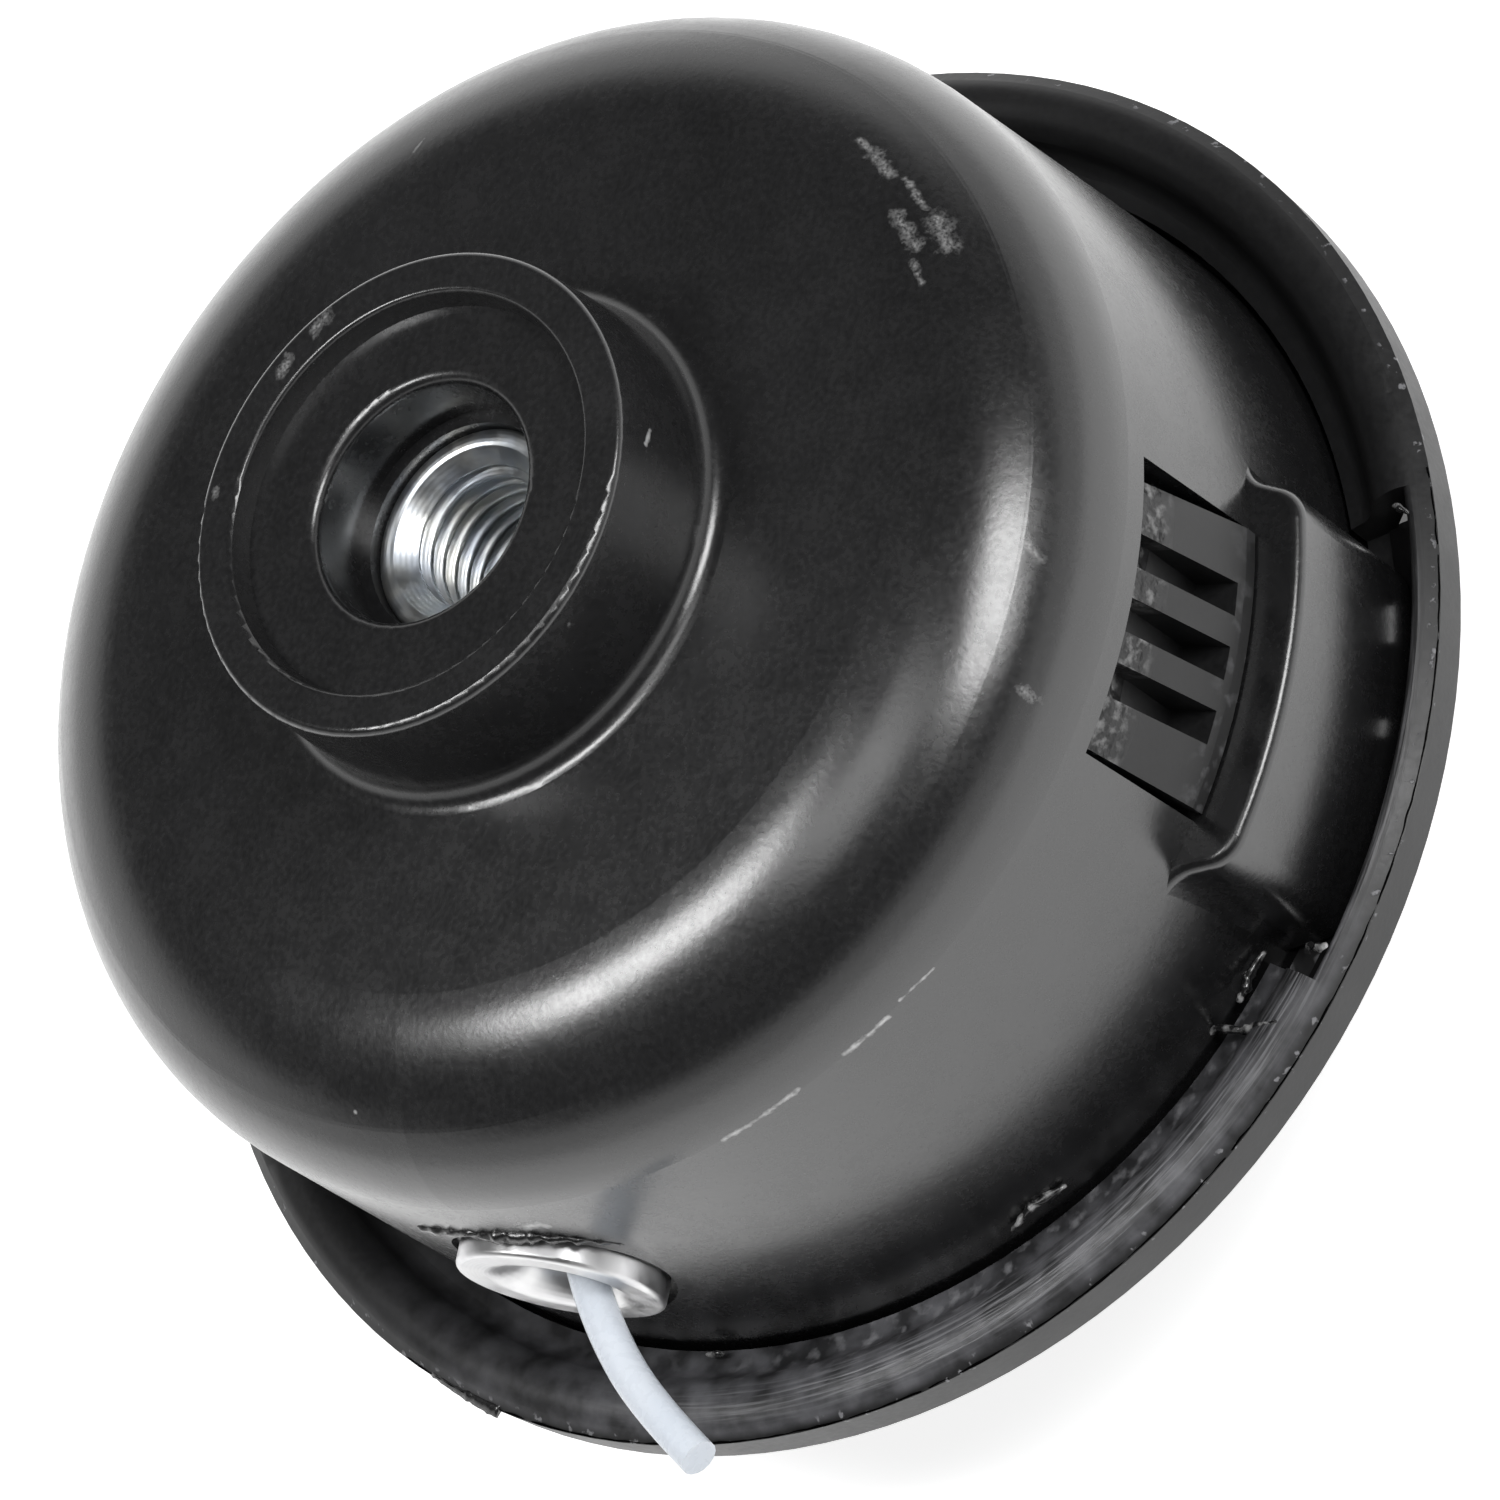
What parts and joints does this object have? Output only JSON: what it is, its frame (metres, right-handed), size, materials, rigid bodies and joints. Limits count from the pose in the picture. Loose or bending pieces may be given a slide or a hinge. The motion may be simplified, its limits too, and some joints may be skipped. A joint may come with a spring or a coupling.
{
  "type": "string trimmer head",
  "caption": "Round tap-feed line head for a grass trimmer: domed housing with a threaded hub, clip-on cover with a wide brim, sprung spool of nylon line and a tap button below.",
  "frame": {"origin": "centre of the tap button's ground face, on the spin axis", "axes": "+Z along the spin axis, up towards the threaded hub; +X through a line eyelet; +Y through a latch window"},
  "size_m": [0.0966, 0.092, 0.0624],
  "materials": {
    "housing_plastic": "satin black moulded nylon, fine grain, scuffed",
    "cover_plastic": "satin black moulded nylon, scraped along the brim",
    "knob_plastic": "satin black moulded nylon",
    "spool_plastic": "satin black moulded nylon",
    "nylon_line": "milky translucent nylon line",
    "eyelet_metal": "bright turned metal",
    "plated_steel": "bright zinc-plated steel",
    "spring_steel": "drawn spring steel"
  },
  "bodies": {
    "head": {"housing": "housing_plastic", "drive_nut": "plated_steel", "cover": "cover_plastic", "line_eyelet_a": "eyelet_metal", "line_eyelet_b": "eyelet_metal", "line_end_a": "nylon_line", "line_end_b": "nylon_line"},
    "tap_button": {"bump_knob": "knob_plastic", "feed_spring": "spring_steel"},
    "spool": {"spool": "spool_plastic", "line_winding": "nylon_line"}
  },
  "joints": [
    {"name": "button_press", "type": "slide", "parent": "head", "child": "tap_button", "axis": [0, 0, 1], "range_m": [0, 0.005], "stiffness_N_per_m": 2000, "springref_m": -0.012, "deforming": ["feed_spring"]},
    {"name": "spool_feed", "type": "hinge", "parent": "tap_button", "child": "spool", "pos_m": [0, 0, 0.02], "axis": [0, 0, 1], "range_deg": [0, 30]}
  ],
  "couplings": [
    {"joint": "spool_feed", "follows": "button_press", "rad_per_m": 104.7}
  ]
}
